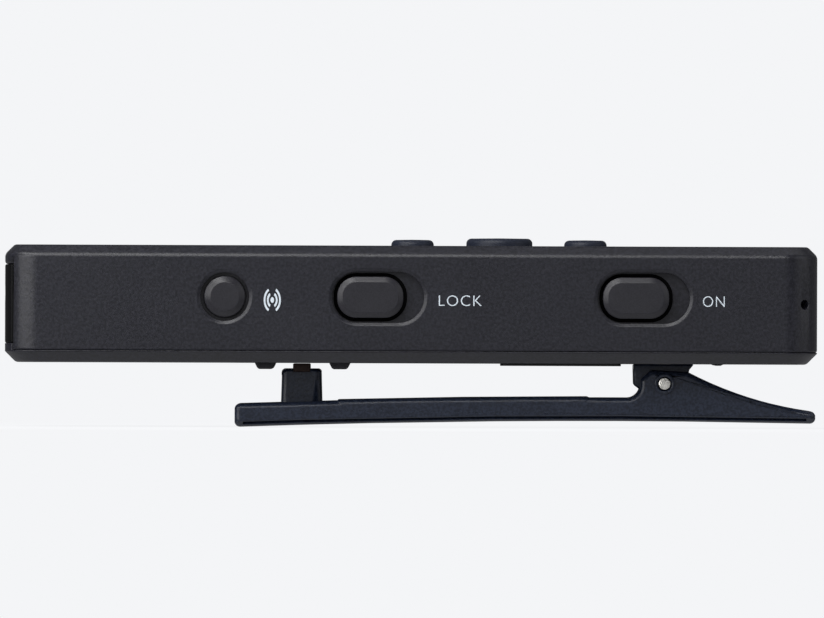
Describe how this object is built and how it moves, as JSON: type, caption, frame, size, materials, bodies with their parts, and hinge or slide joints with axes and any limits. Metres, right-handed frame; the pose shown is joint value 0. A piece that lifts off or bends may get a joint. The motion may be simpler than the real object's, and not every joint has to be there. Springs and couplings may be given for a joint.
{
  "type": "clip-on wireless microphone",
  "caption": "Clip-on wireless microphone body unit with front keys, slide switches, a side button, a microphone port, end sockets and a sprung clip lever on its back.",
  "frame": {"origin": "bottom centre of the bounding box, under the clip lever's lowest point", "axes": "+X along the housing from the socket end to the microphone end, -Y towards the side with the slides, +Z out of the front face with the keys"},
  "size_m": [0.073, 0.0244, 0.017],
  "materials": {
    "housing_plastic": "fine leather grain, dark grey",
    "cap_plastic": "smooth black",
    "button_plastic": "satin dark grey",
    "key_plastic": "satin blue-black",
    "clip_plastic": "satin blue-grey",
    "plate_steel": "black",
    "nickel": "nickel plated",
    "dark_steel": "dark plated",
    "spring_steel": "bright drawn wire",
    "pad_rubber": "dark brown",
    "boot_rubber": "black",
    "foam": "dark grey foam",
    "board": "green solder resist",
    "cell_foil": "silver foil",
    "tin": "tinned sheet",
    "ceramic": "fired white",
    "black_moulding": "moulded black",
    "white_moulding": "moulded off-white",
    "lamp": "clear resin over a chip",
    "light_pipe": "clear moulding",
    "mesh_cloth": "fine black cloth"
  },
  "bodies": {
    "unit": {"front_housing": "housing_plastic", "back_cover": "housing_plastic", "end_cap": "cap_plastic", "rear_plate": "plate_steel", "clip_base": "dark_steel", "clip_pin": "nickel", "clip_rivets": "dark_steel", "clip_spring": "spring_steel", "cover_screws": "dark_steel", "main_board": "board", "radio_shield": "tin", "antenna": "ceramic", "battery": "cell_foil", "battery_pad": "foam", "jack_socket": "black_moulding", "jack_ring": "nickel", "charging_shell": "tin", "charging_tongue": "black_moulding", "hold_switch": "tin", "power_switch": "tin", "pair_switch": "black_moulding", "key_switch_previous": "black_moulding", "key_switch_play": "black_moulding", "key_switch_next": "black_moulding", "status_led": "lamp", "light_guide": "light_pipe", "microphone_capsule": "tin", "microphone_boot": "boot_rubber", "dust_mesh": "mesh_cloth"},
    "lever": {"clip_lever": "clip_plastic", "jaw_pad": "pad_rubber"},
    "side_button": {"pair_button": "button_plastic", "pair_plunger": "white_moulding"},
    "hold_slider": {"hold_knob": "button_plastic", "hold_actuator": "black_moulding"},
    "power_slider": {"power_knob": "button_plastic", "power_actuator": "black_moulding"},
    "previous_key": {"key_previous": "key_plastic", "key_plunger_previous": "white_moulding"},
    "play_key": {"key_play": "key_plastic", "key_plunger_play": "white_moulding"},
    "next_key": {"key_next": "key_plastic", "key_plunger_next": "white_moulding"}
  },
  "joints": [
    {"name": "clip_hinge", "type": "hinge", "parent": "unit", "child": "lever", "pos_m": [0.02282, 0, 0.004], "axis": [0, -1, 0], "range_deg": [0, 17], "stiffness_Nm_per_rad": 0.15, "springref_deg": -28.65, "deforming": ["clip_spring"]},
    {"name": "pair_press", "type": "slide", "parent": "unit", "child": "side_button", "axis": [0, 1, 0], "range_m": [0, 0.0003], "stiffness_N_per_m": 1500, "springref_m": -0.0003},
    {"name": "hold_slide", "type": "slide", "parent": "unit", "child": "hold_slider", "axis": [1, 0, 0], "range_m": [0, 0.0014]},
    {"name": "power_slide", "type": "slide", "parent": "unit", "child": "power_slider", "axis": [1, 0, 0], "range_m": [0, 0.0014]},
    {"name": "previous_press", "type": "slide", "parent": "unit", "child": "previous_key", "axis": [0, 0, -1], "range_m": [0, 0.0003], "stiffness_N_per_m": 1500, "springref_m": -0.0003},
    {"name": "play_press", "type": "slide", "parent": "unit", "child": "play_key", "axis": [0, 0, -1], "range_m": [0, 0.0003], "stiffness_N_per_m": 1500, "springref_m": -0.0003},
    {"name": "next_press", "type": "slide", "parent": "unit", "child": "next_key", "axis": [0, 0, -1], "range_m": [0, 0.0003], "stiffness_N_per_m": 1500, "springref_m": -0.0003}
  ]
}
